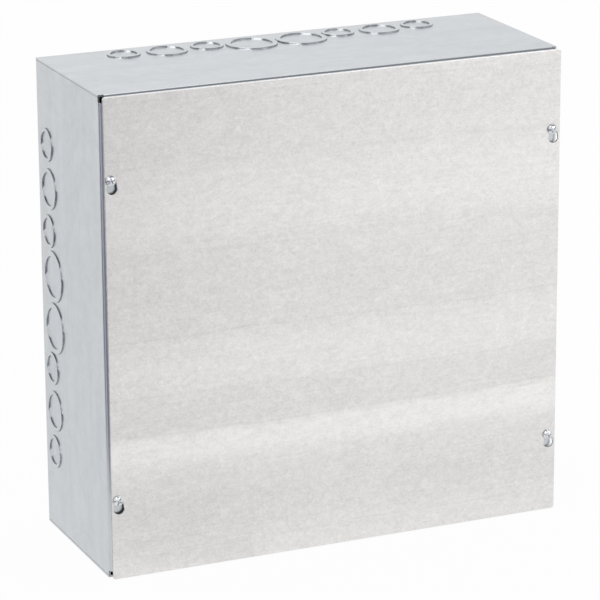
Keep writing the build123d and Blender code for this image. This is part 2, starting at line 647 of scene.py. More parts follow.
@dataclass
class Knockout:
    """A concentric knockout: a ring pressed outward around a flat disc, held by bridges.

    Attributes:
        outer: The ring's outer diameter.
        inner: The disc's diameter.
        rise: How far the ring is pressed out.
        sheet: The sheet's thickness.
        bridge_width: Width of a bridge that still holds the metal.
        lean: How far the bridges are turned from the front and back, in radians.
        bridge_run: Length over which a bridge's metal is stretched.
        outer_run: Shares of that length inside and outside the ring's outer cut.
        disc_run: The same for the cut round the disc.
        run_rows: Where rows of points lie along each share.
        torn: Length over which the cut opens beside a bridge.
        rollover: Rounding of the ring's cut edges.
        shear_gap: Width of the sheared cut.
        steep: Share of the rise above which a step shows its cut face.
        margin: Narrowest strip of plain sheet round the ring.
        rim_play: Plain sheet between the stretched metal and the patch's rim.
        steps: Points round each circle.
    """

    outer: float
    inner: float
    rise: float = 1.2
    sheet: float = 1.6
    bridge_width: float = 6.5
    lean: float = 0.0
    bridge_run: float = 4.5
    outer_run: tuple[float, float] = (0.3, 0.7)
    disc_run: tuple[float, float] = (1.2, 0.3)
    run_rows: tuple[float, ...] = (0.3, 0.65, 1.0)
    torn: float = 2.2
    rollover: float = 0.35
    shear_gap: float = 0.06
    steep: float = 0.3
    margin: float = 0.45
    rim_play: float = 0.05
    steps: int = 64

    def turns(self) -> list[float]:
        """Angles of the points round each circle, 0 along the wall."""
        return [2 * math.pi * i / self.steps for i in range(self.steps)]

    def reach(self, turn: float) -> float:
        """Distance of the patch's edge from the knockout's middle, at an angle."""
        widest = self.bridge_run * self.outer_run[1]
        return self.outer / 2 + self.margin + widest * math.sin(turn) ** 2

    def rim(self, middle: Point) -> list[tuple[float, float]]:
        """Outline of the whole pressed patch, narrow along the wall and wide across it.

        Args:
            middle: The knockout's place along the wall and forward of the back.

        Returns:
            Its points.
        """
        points = []
        for turn in self.turns():
            reach = self.reach(turn)
            points.append((middle[0] + reach * math.cos(turn), middle[1] + reach * math.sin(turn)))
        return points

    def bridging(self, radius: float, turn: float) -> float:
        """How much of a bridge is at a place: 1 on it, 0 off it.

        Args:
            radius: Radius of the cut.
            turn: Angle round the circle, 0 along the wall.

        Returns:
            The share, with a torn slope at each side.
        """
        away = abs(math.cos(turn - self.lean)) * radius
        return min(1.0, max(0.0, (self.bridge_width / 2 - away) / self.torn + 0.5))

    def height(self, radius: float, turn: float) -> float:
        """Height of the sheet's outer face.

        Args:
            radius: Distance from the knockout's middle.
            turn: Angle round it.

        Returns:
            The height above the wall.
        """
        total = 0.0
        ring, disc = self.outer / 2, self.inner / 2
        run = self.bridge_run
        for cut, sign, inner_end, outer_end in (
            (ring, 1.0, ring - run * self.outer_run[0], self.reach(turn) - self.rim_play),
            (disc, -1.0, disc - run * self.disc_run[0], disc + run * self.disc_run[1]),
        ):
            share = min(1.0, max(0.0, (outer_end - radius) / (outer_end - inner_end)))
            slope = share * share * (3 - 2 * share)
            step = 1.0 if radius < cut else 0.0
            held = self.bridging(cut, turn)
            total += sign * (held * slope + (1 - held) * step)
            on_ring = (radius < cut) == (sign > 0)
            near = max(0.0, 1 - abs(radius - cut) / self.rollover) if on_ring else 0.0
            total -= (1 - held) * near * self.rollover / self.rise
        return self.rise * total

    def rows(self) -> list[float]:
        """Radii of the patch's rows of points, from the middle outward."""
        found: set[float] = set()
        run = self.bridge_run
        for cut, (low, high) in ((self.outer / 2, self.outer_run), (self.inner / 2, self.disc_run)):
            found |= {cut - self.shear_gap / 2, cut + self.shear_gap / 2}
            for share in self.run_rows:
                found |= {cut - run * low * share, cut + run * high * share}
        return sorted(round(r, 4) for r in found)

    def build(self, name: str) -> Object:
        """Makes the patch that is welded into a wall's round gap.

        Args:
            name: The object's name.

        Returns:
            An object whose X runs along the wall and whose Z points out of it.
        """
        skin = SheetSkin()
        radii = self.rows()
        edge = self.outer / 2 + self.shear_gap / 2
        outlines = []
        for radius in radii:
            outline = circle((0.0, 0.0), radius, self.steps)
            if radius - edge > self.shear_gap:
                share = (radius - edge) / (radii[-1] - edge)
                outline = [
                    Vector(near).lerp(Vector(far), share)
                    for near, far in zip(circle((0.0, 0.0), edge, self.steps), self.rim((0.0, 0.0)))
                ]
            outlines.append(outline)
        rings: list[list[Pair]] = []
        for outline in outlines:
            ring = []
            for (x, y), turn in zip(outline, self.turns()):
                level = self.height(math.hypot(x, y), turn)
                ring.append((Vector((x, y, level)), Vector((x, y, level - self.sheet))))
            rings.append(ring)
        skin.face(rings[0])
        for small, large, low, high in zip(rings, rings[1:], radii, radii[1:]):
            cut = high - low < 2 * self.shear_gap
            for i in range(self.steps):
                j = (i + 1) % self.steps
                steep = abs(small[i][0].z - large[i][0].z) > self.steep * self.rise
                skin.face((small[i], large[i], large[j], small[j]), cut and steep)
        return new_object(name, skin.mesh(name, closed=False))


@dataclass
class FoldedBody:
    """The back, walls and front flanges, folded from one blank.

    Attributes:
        sheet: The sheet's thickness.
        bend_inside: Inner radius of each bend.
        flange_width: Width of the front flanges, from the wall's face.
        relief_width: Width of the notch at each front corner.
        relief_height: Height of that notch.
        seam_gap: Gap between the walls along their seams.
        mitre_gap: Gap between neighbouring flanges.
        soft_strip: Flat strip beside each bend that keeps the flats' shading flat.
        bend_steps: Faces round each bend.
        back_hole_margin: Distance of the mounting holes from the back's edges.
        back_hole_diameter: Diameter of the mounting holes.
        knockout_rise: How far the knockouts stand out of the walls.
        knockout_back_margin: Distance of the knockouts from the back.
        flat_lean: How far the bridges are turned on the top and bottom, in radians.
        side_lean: How far they are turned on the left and right.
        bridge_widths: Width of the bridges of each size of knockout, small to large.
        hole_steps: Points round a plain hole.
        weld: Distance within which neighbouring points become one.
        half_inch: Diameter of a knockout for 1/2 in pipe.
        three_quarter: For 3/4 in pipe.
        one_inch: For 1 in pipe.
        inch_and_quarter: For 1-1/4 in pipe.
        middle_gap: Plain sheet between the two knockouts nearest a wall's middle.
        large_gap: Between those and the next ones.
        small_gap: Between all further ones.
        collar_wall: Thickness of a tapped collar.
        collar_length: How far it stands inside the flange.
        collar_bore: Its inner diameter.
        collar_play: Gap between a collar and the hole round it.
        screw_places: Where the screws are, across and up.
    """

    sheet: float = 1.6
    bend_inside: float = 2.4
    flange_width: float = 19.0
    relief_width: float = 4.6
    relief_height: float = 6.0
    seam_gap: float = 0.3
    mitre_gap: float = 0.7
    soft_strip: float = 0.2
    bend_steps: int = 10
    back_hole_margin: float = 25.4
    back_hole_diameter: float = 7.9
    knockout_rise: float = 1.2
    knockout_back_margin: float = 10.0
    flat_lean: float = 0.68
    side_lean: float = 0.38
    bridge_widths: tuple[float, float, float] = (5.5, 7.0, 9.5)
    hole_steps: int = 40
    weld: float = 0.002
    half_inch: float = 22.2
    three_quarter: float = 28.2
    one_inch: float = 34.9
    inch_and_quarter: float = 44.0
    middle_gap: float = 1.2
    large_gap: float = 1.2
    small_gap: float = 5.4
    collar_wall: float = 1.4
    collar_length: float = 2.6
    collar_bore: float = 4.3
    collar_play: float = 0.1
    screw_places: list[tuple[float, float]] = field(default_factory=list)

    def __post_init__(self) -> None:
        """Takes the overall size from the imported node."""
        low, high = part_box("box_body")
        self.front = low.y / MM
        self.back = high.y / MM
        self.depth = self.back - self.front
        self.half_width = high.x / MM - self.knockout_rise
        self.bottom = low.z / MM + self.knockout_rise
        self.top = high.z / MM - self.knockout_rise
        self.half_height = (self.top - self.bottom) / 2
        self.middle = (self.top + self.bottom) / 2
        self.bend = self.bend_inside + self.sheet

    def walls(self) -> list[Wall]:
        """The four walls, top and bottom over the ends of left and right."""
        tucked = self.sheet + self.seam_gap
        up = Vector((0.0, 0.0, 1.0))
        right = Vector((1.0, 0.0, 0.0))
        flat = (self.half_width, 0.0, self.relief_width, self.relief_height)
        side = (self.half_height, tucked, self.relief_height, self.relief_width)
        top = Vector((0.0, self.back, self.top))
        bottom = Vector((0.0, self.back, self.bottom))
        left = Vector((-self.half_width, self.back, self.middle))
        far = Vector((self.half_width, self.back, self.middle))
        return [
            Wall(top, -right, up, *flat, -self.flat_lean),
            Wall(bottom, right, -up, *flat, self.flat_lean),
            Wall(left, -up, -right, *side, self.side_lean),
            Wall(far, up, right, *side, -self.side_lean),
        ]

    def kinds(self, lean: float = 0.0) -> list[Knockout]:
        """The three sizes of knockout, small to large, with their bridges turned."""
        sizes = (self.half_inch, self.three_quarter, self.one_inch, self.inch_and_quarter)
        return [
            Knockout(outer, inner, self.knockout_rise, self.sheet, width, lean)
            for inner, outer, width in zip(sizes, sizes[1:], self.bridge_widths)
        ]

    def row(self) -> list[tuple[float, float, int]]:
        """Places along a wall and forward of the back, and the size number, of its knockouts."""
        kinds = self.kinds()
        places = []
        reach = 0.0
        gaps = (self.middle_gap / 2, self.large_gap, self.small_gap, self.small_gap)
        large, small, medium = 2, 0, 1
        for size, gap in zip((large, small, medium, small), gaps):
            radius = kinds[size].outer / 2
            along = reach + gap + radius
            reach = along + radius
            for side in (-1, 1):
                places.append((side * along, self.knockout_back_margin + radius, size))
        return places

    def flange_half(self, wall: Wall, across: float) -> float:
        """Half the length of a front flange.

        Args:
            wall: The wall that the flange is folded from.
            across: Distance from the wall's outer face.

        Returns:
            Half the length there, short of the relief and of the mitre.
        """
        plain = wall.half - wall.relief_along
        slope = (self.flange_width - wall.relief_along) / (self.flange_width - wall.relief_across)
        clear = self.mitre_gap / 2 * math.hypot(1.0, slope)
        return min(plain, plain - (across - wall.relief_across) * slope - clear)

    def fold(self, skin: SheetSkin, wall: Wall) -> None:
        """Adds a wall with its bends and its flange.

        Args:
            skin: The sheet that it is part of.
            wall: The wall.
        """

        def pair(
            outer_along: float, inner_along: float, forward: float, depth: float, tilt: float
        ) -> Pair:
            """Both skins at a place where the sheet is tilted from the wall's plane."""
            ahead, out = math.sin(tilt), math.cos(tilt)
            outer = wall.point(outer_along, forward, depth)
            inner = wall.point(inner_along, forward - self.sheet * ahead, depth + self.sheet * out)
            return outer, inner

        def row(halves: Sequence[float], forward: float, depth: float, tilt: float) -> list[Pair]:
            """Both skins at places along the wall."""
            return [pair(a, a, forward, depth, tilt) for a in halves]

        radius = self.bend
        strip = self.soft_strip
        right_angle = math.pi / 2
        half_wall = wall.half - wall.inset
        relief = wall.half - wall.relief_along
        inner_corner = wall.half - radius - strip
        rows = [row((-inner_corner, inner_corner), 0.0, radius + strip, -right_angle)]
        for i in range(self.bend_steps + 1):
            tilt = -right_angle * (1 - i / self.bend_steps)
            depth = radius * (1 - math.cos(tilt))
            forward = radius * (1 + math.sin(tilt))
            outer = wall.half - depth - self.seam_gap / 2
            inner = outer - self.sheet * math.cos(tilt)
            rows.append([pair(s * outer, s * inner, forward, depth, tilt) for s in (-1, 1)])
        wall_start = radius + strip
        wall_end = self.depth - radius - strip
        rows.append(row((-half_wall, half_wall), wall_start, 0.0, 0.0))
        for first, second in zip(rows, rows[1:]):
            skin.strip(first, second)
        seam = [end for ends in rows for end in ends]
        seam += row((-half_wall, half_wall), wall_end, 0.0, 0.0)
        seam += row((-half_wall, half_wall), self.depth - radius, 0.0, 0.0)
        skin.coated |= {skin.corner(end) for end in seam}

        kinds = self.kinds()
        holes = [kinds[size].rim((along, forward)) for along, forward, size in self.row()]
        loop = [(-half_wall, wall_start), (half_wall, wall_start), (half_wall, wall_end)]
        loop += [(relief, wall_end), (-relief, wall_end), (-half_wall, wall_end)]
        skin.fill(loop, holes, lambda a, f: pair(a, a, f, 0.0, 0.0))
        for hole in holes:
            skin.open_rims |= {skin.corner(pair(a, a, f, 0.0, 0.0)) for a, f in hole}

        columns = (-half_wall, -relief, relief, half_wall)
        skin.strip(row(columns, wall_end, 0.0, 0.0), row(columns, self.depth - radius, 0.0, 0.0))
        rows = []
        for i in range(self.bend_steps + 1):
            tilt = right_angle * i / self.bend_steps
            forward = self.depth - radius * (1 - math.sin(tilt))
            rows.append(row((-relief, relief), forward, radius * (1 - math.cos(tilt)), tilt))
        start = radius + strip
        start_half = self.flange_half(wall, start)
        rows.append(row((-start_half, start_half), self.depth, start, right_angle))
        for first, second in zip(rows, rows[1:]):
            skin.strip(first, second)

        end_half = self.flange_half(wall, self.flange_width)
        loop = [(-start_half, start), (start_half, start)]
        slope = (self.flange_width - wall.relief_along) / (self.flange_width - wall.relief_across)
        kink = wall.relief_across - self.mitre_gap / 2 * math.hypot(1.0, slope) / slope
        if kink > start:
            loop.append((relief, kink))
        loop += [(end_half, self.flange_width), (-end_half, self.flange_width)]
        if kink > start:
            loop.append((-relief, kink))
        holes = []
        for x, z in self.screw_places:
            place = Vector((x, self.front, z)) - wall.origin
            across = -place.dot(wall.outward)
            if start < across < self.flange_width:
                middle = (place.dot(wall.along), across)
                holes.append(circle(middle, self.collar_bore / 2 + self.collar_play, self.hole_steps))
        skin.fill(loop, holes, lambda a, d: pair(a, a, self.depth, d, right_angle))

    def blank(self) -> Mesh:
        """Makes the folded sheet, with round gaps where its knockouts are welded in.

        Returns:
            The mesh of both skins and all cut edges.
        """
        skin = SheetSkin()
        for wall in self.walls():
            self.fold(skin, wall)
        inset = self.bend + self.soft_strip
        x, z = self.half_width - inset, self.half_height - inset
        hole_x = self.half_width - self.back_hole_margin
        hole_z = self.half_height - self.back_hole_margin
        holes = [
            circle((side * hole_x, level * hole_z), self.back_hole_diameter / 2, self.hole_steps)
            for side in (-1, 1)
            for level in (-1, 1)
        ]

        def on_back(a: float, b: float) -> Pair:
            """Both skins at a place on the back, seen from behind."""
            outer = Vector((-a, self.back, self.middle + b))
            return outer, Vector((-a, self.back - self.sheet, self.middle + b))

        skin.fill([(-x, -z), (x, -z), (x, z), (-x, z)], holes, on_back)
        return skin.mesh("folded_blank", closed=True)

    def collar(self) -> Object:
        """Makes a tapped collar that is drawn inward from a flange.

        Returns:
            An object whose Z points out of the flange.
        """
        bore = self.collar_bore / 2
        outside = bore + self.collar_wall
        end = -self.sheet - self.collar_length
        pitch, groove, bevel, foot = 0.8, 0.22, 0.25, 0.2
        sunk, first_turn = 0.12, 0.3
        profile = [(bore + bevel, -sunk)]
        level = -first_turn
        while level - pitch > end + foot:
            profile += [(bore, level), (bore + groove, level - pitch / 2)]
            level -= pitch
        profile += [(bore, level), (bore + foot, end), (outside - bevel, end), (outside, end + bevel)]
        profile += [(outside, -sunk)]
        mesh = lathe("tapped_collar", profile, self.hole_steps, closed=True)
        store(mesh, SHEARED, "BOOLEAN", "FACE", [False] * len(mesh.polygons))
        return new_object("tapped_collar", mesh)

    def pressing_places(self) -> Object:
        """Makes one point for each knockout and collar, with its turn and which pressing it is.

        Returns:
            An object that holds only the points.
        """
        points: list[Vector] = []
        turns: list[Vector] = []
        numbers: list[int] = []
        walls, sizes = self.walls(), len(self.bridge_widths)
        for i, wall in enumerate(walls):
            axes = Matrix((wall.along, FORWARD, wall.outward)).transposed()
            for along, forward, size in self.row():
                points.append(wall.point(along, forward, 0.0))
                turns.append(Vector(axes.to_euler()))
                numbers.append(i * sizes + size)
        facing = Matrix(((1, 0, 0), (0, 0, -1), (0, 1, 0))).to_euler()
        for x, z in self.screw_places:
            points.append(Vector((x, self.front, z)))
            turns.append(Vector(facing))
            numbers.append(len(walls) * sizes)
        mesh = bpy.data.meshes.new("pressing_places")
        mesh.from_pydata(to_metres(points), [], [])
        store(mesh, "turn", "FLOAT_VECTOR", "POINT", [c for turn in turns for c in turn])
        store(mesh, "pressing", "INT", "POINT", numbers)
        return new_object("pressing_places", mesh)

    def press_tree(self) -> GeometryNodeTree:
        """Makes the tree that presses every knockout and collar into the blank.

        Returns:
            The tree, with named inputs.
        """
        inputs = {"Blank": "Geometry", "Pressings": "Collection", "Places": "Object"}
        inputs |= {"Weld distance": "Float", "Sheet finish": "Material", "Cut finish": "Material"}
        tree, given = new_tree("press_the_blank", inputs, "Body")
        pressings = add_node(
            tree,
            "GeometryNodeCollectionInfo",
            {"Collection": given["Pressings"], "Separate Children": True, "Reset Children": True},
        )
        places = add_node(tree, "GeometryNodeObjectInfo", {"Object": given["Places"]})
        spin = add_node(tree, "FunctionNodeEulerToRotation", {0: stored(tree, "FLOAT_VECTOR", "turn")})
        pressed = add_node(
            tree,
            "GeometryNodeInstanceOnPoints",
            {
                "Points": places.outputs["Geometry"],
                "Instance": pressings,
                "Pick Instance": True,
                "Instance Index": stored(tree, "INT", "pressing"),
                "Rotation": spin,
            },
        )
        real = add_node(tree, "GeometryNodeRealizeInstances", {0: pressed})
        joined = add_node(tree, "GeometryNodeJoinGeometry", {0: real})
        tree.links.new(given["Blank"], joined.inputs[0])
        near = {"Geometry": joined, "Distance": given["Weld distance"]}
        welded = add_node(tree, "GeometryNodeMergeByDistance", near)
        zinc = paint(tree, welded, given["Sheet finish"])
        done = paint(tree, zinc, given["Cut finish"], stored(tree, "BOOLEAN", SHEARED))
        add_node(tree, "NodeGroupOutput", {0: done})
        return tree

    def build(self, zinc: Material, cut: Material) -> Object:
        """Makes the whole body.

        Args:
            zinc: Finish of the sheet.
            cut: Finish of its cut edges.

        Returns:
            The body as one plain mesh.
        """
        blank = new_object("folded_blank", self.blank())
        kinds = [kind for wall in self.walls() for kind in self.kinds(wall.lean)]
        pressings = [kind.build(f"pressing_{i:02d}") for i, kind in enumerate(kinds)]
        collar = self.collar()
        collar.name = f"pressing_{len(pressings):02d}"
        pressings.append(collar)
        places = self.pressing_places()
        group = bpy.data.collections.new("pressings")
        bpy.context.scene.collection.children.link(group)
        for pressing in pressings:
            bpy.context.scene.collection.objects.unlink(pressing)
            group.objects.link(pressing)
        mesh = grow(
            blank,
            self.press_tree(),
            {
                "Pressings": group,
                "Places": places,
                "Weld distance": self.weld * MM,
                "Sheet finish": zinc,
                "Cut finish": cut,
            },
            "folded_body",
        )
        for spare in (blank, places, *pressings):
            bpy.data.objects.remove(spare)
        bpy.data.collections.remove(group)
        return new_object("folded_body", mesh)


def lathe(name: str, profile: Sequence[Point], steps: int, closed: bool) -> Mesh:
    """Turns a profile round the Z axis.

    Args:
        name: The mesh's name.
        profile: Radius and height of each corner.
        steps: Points round the axis.
        closed: Whether the last corner joins the first, as on a tube.

    Returns:
        The mesh, with its faces outward.
    """
    build = bmesh.new()
    rings = []
    for radius, height in profile:
        if radius < ON_AXIS:
            rings.append([build.verts.new((0.0, 0.0, height * MM))])
            continue
        points = circle((0.0, 0.0), radius, steps)
        rings.append([build.verts.new((x * MM, y * MM, height * MM)) for x, y in points])
    following = [*rings[1:], rings[0]] if closed else rings[1:]
    for first, second in zip(rings, following):
        for i in range(steps):
            j = (i + 1) % steps
            corners = [first[i % len(first)], first[j % len(first)]]
            corners += [second[j % len(second)], second[i % len(second)]]
            unique = list(dict.fromkeys(corners))
            if len(unique) > 2:
                build.faces.new(unique)
    bmesh.ops.recalc_face_normals(build, faces=build.faces)
    mesh = bpy.data.meshes.new(name)
    build.to_mesh(mesh)
    build.free()
    return mesh


def grow(
    host: Object,
    tree: GeometryNodeTree,
    values: dict[str, Any],
    name: str,
) -> Mesh:
    """Runs a geometry tree on an object and keeps its result as a plain mesh.

    Args:
        host: The object that the tree starts from.
        tree: The tree.
        values: A value for each named input.
        name: The new mesh's name.

    Returns:
        The plain mesh, shaded.
    """
    modifier = host.modifiers.new(tree.name, "NODES")
    modifier.node_group = tree
    for item in tree.interface.items_tree:
        if item.in_out == "INPUT" and item.name in values:
            modifier[item.identifier] = values[item.name]
    bpy.context.view_layer.update()
    evaluated = host.evaluated_get(bpy.context.evaluated_depsgraph_get())
    mesh = bpy.data.meshes.new_from_object(evaluated)
    mesh.name = name
    host.modifiers.remove(modifier)
    shade(mesh)
    return mesh


@dataclass
class CoverPlate:
    """The flat cover with its four teardrop keyholes.

    Attributes:
        corner_radius: Radius of its corners.
        rollover: Rounding that shearing leaves along its edges.
        flat_strip: Strip beside it that keeps the faces' shading flat.
        roll_steps: Where rows of points lie round the rollover.
        keyhole_slot: Radius of a keyhole's narrow end.
        keyhole_round: Radius of its wide end.
        shift: How far the plate sits to the right of the screws.
        hanging_drop: How far the narrow ends sit below the screws.
        keyhole_drop: How far the wide ends sit below the screws.
        corner_steps: Points round a corner.
        keyhole_steps: Points round each end of a keyhole.
        screw_places: Where the screws are, across and up.
    """

    corner_radius: float = 2.0
    rollover: float = 0.45
    flat_strip: float = 0.25
    roll_steps: tuple[float, ...] = (0.0, 0.33, 0.67, 1.0)
    keyhole_slot: float = 3.418
    keyhole_round: float = 4.65
    shift: float = 1.0
    hanging_drop: float = 0.5
    keyhole_drop: float = 7.3
    corner_steps: int = 8
    keyhole_steps: int = 24
    screw_places: list[tuple[float, float]] = field(default_factory=list)

    def outline(self, inset: float) -> list[tuple[float, float]]:
        """The plate's outline.

        Args:
            inset: How far inside the real edge.

        Returns:
            Its points, anticlockwise seen from the front.
        """
        low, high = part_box("cover")
        radius = self.corner_radius
        left, right = low.x / MM + radius, high.x / MM - radius
        bottom, top = low.z / MM + radius, high.z / MM - radius
        points = []
        middles = ((right, bottom, -90), (right, top, 0), (left, top, 90), (left, bottom, 180))
        for x, z, start in middles:
            for i in range(self.corner_steps + 1):
                turn = math.radians(start + 90 * i / self.corner_steps)
                reach = radius - inset
                points.append((x + reach * math.cos(turn), z + reach * math.sin(turn)))
        return points

    def keyhole(self, x: float, z: float, inset: float) -> list[tuple[float, float]]:
        """A keyhole's outline.

        Args:
            x: The screw's place across.
            z: The screw's height.
            inset: How far into the metal.

        Returns:
            Its points, clockwise seen from the front.
        """
        x += self.shift
        upper, lower = z - self.hanging_drop, z - self.keyhole_drop
        small, large = self.keyhole_slot + inset, self.keyhole_round + inset
        lean = math.asin((large - small) / (upper - lower))
        points = []
        for centre, radius, start, end in (
            (upper, small, math.pi + lean, -lean),
            (lower, large, -lean, lean - math.pi),
        ):
            for i in range(self.keyhole_steps + 1):
                turn = start + (end - start) * i / self.keyhole_steps
                points.append((x + radius * math.cos(turn), centre + radius * math.sin(turn)))
        return points

    def build(self, zinc: Material, cut: Material, top_edge_highlight: Material) -> Object:
        """Makes the plate.

        Args:
            zinc: Finish of its faces.
            cut: Finish of its sheared edges.
            top_edge_highlight: Near-white finish of its upper edge, a painted highlight for the light
                that this edge catches from above.

        Returns:
            The plate.
        """
        low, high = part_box("cover")
        front, back = low.y / MM, high.y / MM
        build = bmesh.new()
        levels = [(self.rollover + self.flat_strip, front, False)]
        for share in self.roll_steps:
            angle = share * math.pi / 2
            inset = self.rollover * (1 - math.sin(angle))
            levels.append((inset, front + self.rollover * (1 - math.cos(angle)), False))
        levels.append((0.0, back - self.rollover / 2, True))
        levels.append((self.rollover / 2, back, False))
        outlines = []
        for inset, y, _ in levels:
            rings = [self.outline(inset)]
            rings += [self.keyhole(x, z, inset) for x, z in self.screw_places]
            outlines.append(
                [[build.verts.new((x * MM, y * MM, z * MM)) for x, z in ring] for ring in rings]
            )
        for upper, lower, (_, _, sheared) in zip(outlines, outlines[1:], levels[1:]):
            for ring_a, ring_b in zip(upper, lower):
                count = len(ring_a)
                for i in range(count):
                    j = (i + 1) % count
                    side = build.faces.new((ring_a[j], ring_a[i], ring_b[i], ring_b[j]))
                    side.material_index = 1 if sheared else 0
                    # The faces along the upper edge get the near-white finish: a painted highlight for
                    # the light that this edge catches from above.
                    if min(ring_a[i].co.z, ring_a[j].co.z) > high.z - self.corner_radius * MM / 2:
                        side.material_index = 2
        for rings in (outlines[0], outlines[-1]):
            corners = [v for ring in rings for v in ring]
            loops = [[(v.co.x / MM, v.co.z / MM) for v in ring] for ring in rings]
            for triangle in fill_outline(loops[0], loops[1:]):
                build.faces.new([corners[i] for i in triangle])
        bmesh.ops.recalc_face_normals(build, faces=build.faces)
        mesh = bpy.data.meshes.new("cover_plate")
        build.to_mesh(mesh)
        build.free()
        for finish in (zinc, cut, top_edge_highlight):
            mesh.materials.append(finish)
        shade(mesh)
        return new_object("cover_plate", mesh)


@dataclass
class CoverScrew:
    """A pan head machine screw with a slot across a cross recess.

    Attributes:
        head_diameter: Diameter of the head.
        head_height: Height of the head.
        head_rim: Height of its straight side.
        shank_diameter: Diameter over the thread.
        shank_length: Length under the head.
        pitch: Distance between the thread's turns.
        thread_depth: Depth of the thread.
        slot_width: Width of the slot.
        slot_overrun: How much longer its cutter is than the head is wide.
        slot_depth: Depth of the slot.
        cross_length: Length across the cross recess.
        cross_depth: Depth of the cross recess.
        tip_chamfer: Chamfer of the tip.
        steps: Points round the screw.
        rows_per_turn: Rows of points along each turn of the thread.
        dome_steps: Rows of points over the head.
    """

    head_diameter: float = 8.7
    head_height: float = 3.0
    head_rim: float = 1.1
    shank_diameter: float = 4.2
    shank_length: float = 12.7
    pitch: float = 0.794
    thread_depth: float = 0.36
    slot_width: float = 1.2
    slot_overrun: float = 1.2
    slot_depth: float = 1.6
    cross_length: float = 5.2
    cross_depth: float = 2.3
    tip_chamfer: float = 0.8
    steps: int = 48
    rows_per_turn: int = 6
    dome_steps: int = 10

    def turned(self) -> Mesh:
        """Makes the turned blank, its crown at the origin and its tip towards -Z.

        Returns:
            The mesh, with a point attribute that is 1 where the thread is cut.
        """
        length = self.head_height + self.shank_length
        radius = self.head_diameter / 2
        dome = self.head_height - self.head_rim
        ball = (radius**2 + dome**2) / (2 * dome)
        lip, lip_edge, lip_drop, lip_height = 0.25, 0.08, 0.1, 0.3
        bevel, neck, neck_length, plain_length, tip_share = 0.12, 0.25, 0.3, 0.5, 0.9
        profile = [(0.0, 0.0)]
        limit = math.asin((radius - lip) / ball)
        for i in range(1, self.dome_steps + 1):
            turn = limit * i / self.dome_steps
            profile.append((ball * math.sin(turn), ball * (math.cos(turn) - 1)))
        edge = profile[-1][1]
        seat = -self.head_height
        profile += [(radius - lip_edge, edge - lip_drop), (radius, edge - lip_height)]
        profile += [(radius, bevel + seat), (radius - bevel, seat)]
        shank = self.shank_diameter / 2
        profile += [(shank + neck, seat), (shank - self.thread_depth, seat - neck_length)]
        start = seat - plain_length
        end = self.tip_chamfer - length
        rows = round((start - end) / self.pitch * self.rows_per_turn)
        profile += [(shank, start + (end - start) * i / rows) for i in range(rows + 1)]
        profile += [(shank - self.tip_chamfer * tip_share, -length), (0.0, -length)]
        mesh = lathe("turned_blank", profile, self.steps, closed=False)
        rounding = 1e-3
        on_thread = [
            float(end - rounding <= v.co.z / MM <= start + rounding) for v in mesh.vertices
        ]
        store(mesh, "threaded", "FLOAT", "POINT", on_thread)
        return mesh

    def tree(self) -> GeometryNodeTree:
        """Makes the tree that cuts the thread and the recess, and sets the screw in its place.

        Returns:
            The tree, with named inputs.
        """
        sizes = ("Pitch", "Thread depth", "Slot width", "Slot length", "Slot depth")
        sizes += ("Cross length", "Cross depth")
        inputs = {"Blank": "Geometry", **dict.fromkeys(sizes, "Float")}
        inputs |= {"Turn": "Rotation", "Place": "Vector", "Finish": "Material"}
        tree, given = new_tree("cover_screw", inputs, "Screw")

        position = add_node(tree, "GeometryNodeInputPosition")
        axes = add_node(tree, "ShaderNodeSeparateXYZ", {0: position}).outputs
        angle = calculate(tree, "ARCTAN2", axes[1], axes[0])
        turns = calculate(tree, "DIVIDE", angle, 2 * math.pi)
        along = calculate(tree, "DIVIDE", axes[2], given["Pitch"])
        phase = calculate(tree, "PINGPONG", calculate(tree, "ADD", along, turns), 0.5)
        deep = calculate(tree, "MULTIPLY", given["Thread depth"], 2.0)
        groove = calculate(tree, "MULTIPLY", phase, deep)
        marked = calculate(tree, "MULTIPLY", groove, stored(tree, "FLOAT", "threaded"))
        inward = calculate(tree, "MULTIPLY", marked, -1.0)
        flat = add_node(tree, "ShaderNodeCombineXYZ", {"X": axes[0], "Y": axes[1]})
        radial = add_node(tree, "ShaderNodeVectorMath", {0: flat}, operation="NORMALIZE")
        offset = add_node(tree, "ShaderNodeVectorMath", {0: radial, "Scale": inward}, operation="SCALE")
        moved = {"Geometry": given["Blank"], "Offset": offset}
        threaded = add_node(tree, "GeometryNodeSetPosition", moved)
        recess = add_node(
            tree,
            "GeometryNodeMeshBoolean",
            {"Mesh 1": threaded, "Self Intersection": True},
            operation="DIFFERENCE",
            solver="EXACT",
        )
        for x, y, depth in (
            (given["Slot length"], given["Slot width"], given["Slot depth"]),
            (given["Cross length"], given["Slot width"], given["Cross depth"]),
            (given["Slot width"], given["Cross length"], given["Cross depth"]),
        ):
            reach = calculate(tree, "MULTIPLY", depth, 2.0)
            size = add_node(tree, "ShaderNodeCombineXYZ", {"X": x, "Y": y, "Z": reach})
            cutter = add_node(tree, "GeometryNodeMeshCube", {"Size": size})
            tree.links.new(cutter.outputs[0], recess.inputs["Mesh 2"])
        placed = add_node(
            tree,
            "GeometryNodeTransform",
            {"Geometry": recess, "Translation": given["Place"], "Rotation": given["Turn"]},
        )
        real = add_node(tree, "GeometryNodeRealizeInstances", {0: placed})
        add_node(tree, "NodeGroupOutput", {0: paint(tree, real, given["Finish"])})
        return tree

